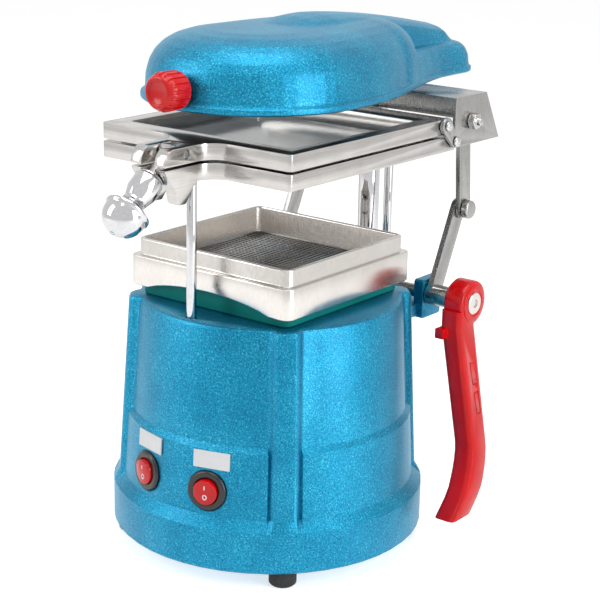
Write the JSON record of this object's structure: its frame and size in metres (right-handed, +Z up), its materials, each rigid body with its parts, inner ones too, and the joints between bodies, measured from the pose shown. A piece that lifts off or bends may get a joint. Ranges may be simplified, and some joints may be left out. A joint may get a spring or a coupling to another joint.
{
  "type": "bench-top vacuum forming machine",
  "caption": "Bench-top vacuum former: round base with tray, hand lever that lowers a hinged sheet frame on guide rods, and a swivelling heater head.",
  "frame": {"origin": "centre of the machine's bounding box in plan, on the bench surface", "axes": "+Z up, -Y towards the front with the switches and the clamp knob, +X towards the hand lever"},
  "size_m": [0.21, 0.3061, 0.318],
  "materials": {
    "blue_hammertone": "hammertone enamel",
    "red_plastic": "glossy moulded",
    "brushed_steel": "brushed",
    "dark_steel": "blackened",
    "chrome": "polished",
    "cast_aluminium": "fine cast and machined",
    "teal_rubber": "matte moulded",
    "black_plastic": "fine matte",
    "black_rubber": "matte",
    "white_sheet": "smooth sheet",
    "heater_iron": "heat darkened"
  },
  "bodies": {
    "base": {"base_housing": "blue_hammertone", "foot_front_right": "black_rubber", "foot_front_left": "black_rubber", "foot_rear_right": "black_rubber", "foot_rear_left": "black_rubber", "gasket": "teal_rubber", "vacuum_tray": "cast_aluminium", "tray_mesh": "dark_steel", "head_post": "chrome", "switch_bezel_heat": "black_plastic", "switch_bezel_vacuum": "black_plastic", "cable_gland": "black_plastic"},
    "lever": {"lever_handle": "red_plastic", "lever_screw": "brushed_steel", "crank_shaft": "dark_steel", "crank_right": "dark_steel", "crank_left": "dark_steel", "pivot_bolt_right": "dark_steel", "pivot_bolt_left": "dark_steel"},
    "link_right": {"upper_link_right": "dark_steel"},
    "link_left": {"upper_link_left": "dark_steel"},
    "frame": {"lower_plate": "brushed_steel", "upper_plate": "brushed_steel", "plastic_sheet": "white_sheet", "guide_bush": "brushed_steel", "rear_bracket": "dark_steel", "guide_rod_front": "chrome", "guide_rod_rear": "chrome", "hinge_screw_right": "chrome", "hinge_screw_left": "chrome", "fixing_screw_right": "chrome", "fixing_screw_left": "chrome", "link_stud_right": "brushed_steel", "link_stud_left": "brushed_steel", "clamp_pin": "dark_steel"},
    "clamp": {"swing_bolt": "brushed_steel"},
    "knob": {"clamp_knob": "chrome"},
    "head": {"heater_head": "blue_hammertone", "heater_plate": "heater_iron", "head_knob": "red_plastic"},
    "rocker_heat_body": {"rocker_heat": "red_plastic"},
    "rocker_vacuum_body": {"rocker_vacuum": "red_plastic"}
  },
  "joints": [
    {"name": "lever_swing", "type": "hinge", "parent": "base", "child": "lever", "pos_m": [-0.00945, 0.07264, 0.145], "axis": [-1, 0, 0], "range_deg": [0, 53.5]},
    {"name": "frame_slide", "type": "slide", "parent": "base", "child": "frame", "axis": [0, 0, -1], "range_m": [0, 0.053]},
    {"name": "link_hinge_right", "type": "hinge", "parent": "lever", "child": "link_right", "pos_m": [0.05675, 0.09665, 0.19626], "axis": [-1, 0, 0], "range_deg": [-88.6, 0]},
    {"name": "link_hinge_left", "type": "hinge", "parent": "lever", "child": "link_left", "pos_m": [-0.07565, 0.09665, 0.19626], "axis": [-1, 0, 0], "range_deg": [-88.6, 0]},
    {"name": "clamp_swing", "type": "hinge", "parent": "frame", "child": "clamp", "pos_m": [-0.00695, -0.10486, 0.2525], "axis": [-1, 0, 0], "range_deg": [0, 75]},
    {"name": "knob_turn", "type": "hinge", "parent": "clamp", "child": "knob", "pos_m": [-0.00695, -0.11968, 0.24029], "axis": [0, -0.7716, -0.6361], "range_deg": [0, 720]},
    {"name": "head_swivel", "type": "hinge", "parent": "base", "child": "head", "pos_m": [-0.00945, 0.08814, 0.274], "axis": [0, 0, -1], "range_deg": [0, 120]},
    {"name": "rocker_heat_tilt", "type": "hinge", "parent": "base", "child": "rocker_heat_body", "pos_m": [0.01392, -0.09687, 0.05634], "axis": [0.965, 0.2622, 0], "range_deg": [-14, 0]},
    {"name": "rocker_vacuum_tilt", "type": "hinge", "parent": "base", "child": "rocker_vacuum_body", "pos_m": [-0.03282, -0.09687, 0.05634], "axis": [0.965, -0.2622, 0], "range_deg": [-14, 0]}
  ],
  "couplings": [
    {"joint": "frame_slide", "follows": "lever_swing", "m_per_rad": 0.05676},
    {"joint": "link_hinge_right", "follows": "lever_swing", "ratio": -1.6523},
    {"joint": "link_hinge_left", "follows": "lever_swing", "ratio": -1.6523}
  ]
}
